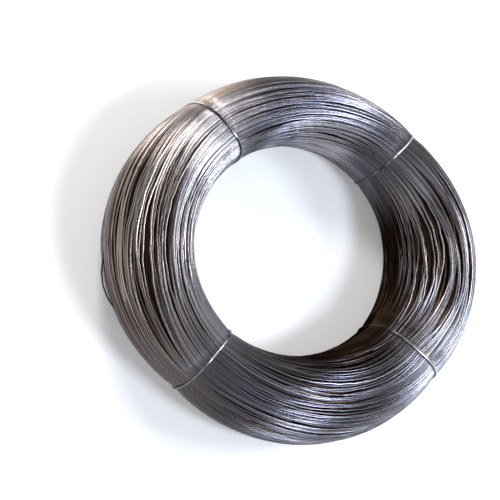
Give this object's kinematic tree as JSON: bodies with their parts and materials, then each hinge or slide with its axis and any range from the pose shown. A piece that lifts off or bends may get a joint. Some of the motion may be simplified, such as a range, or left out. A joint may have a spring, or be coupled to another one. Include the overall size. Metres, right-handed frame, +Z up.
{
  "type": "steel wire coil",
  "caption": "Thick ring of bright drawn steel wire, wound round an open bore, bound across its section with tie wires and lying flat on one end.",
  "frame": {"origin": "on the floor, at the centre of the coil's bore", "axes": "+Z up along the coil's axis, +X and +Y across it"},
  "size_m": [0.5939, 0.594, 0.165],
  "materials": {
    "coil_wire": "bright drawn wire, wound",
    "tie_wire": "soft annealed wire"
  },
  "bodies": {
    "root": {"wire_coil": "coil_wire", "tie_wire_1": "tie_wire", "tie_wire_2": "tie_wire", "tie_wire_3": "tie_wire", "tie_wire_4": "tie_wire"}
  },
  "joints": []
}
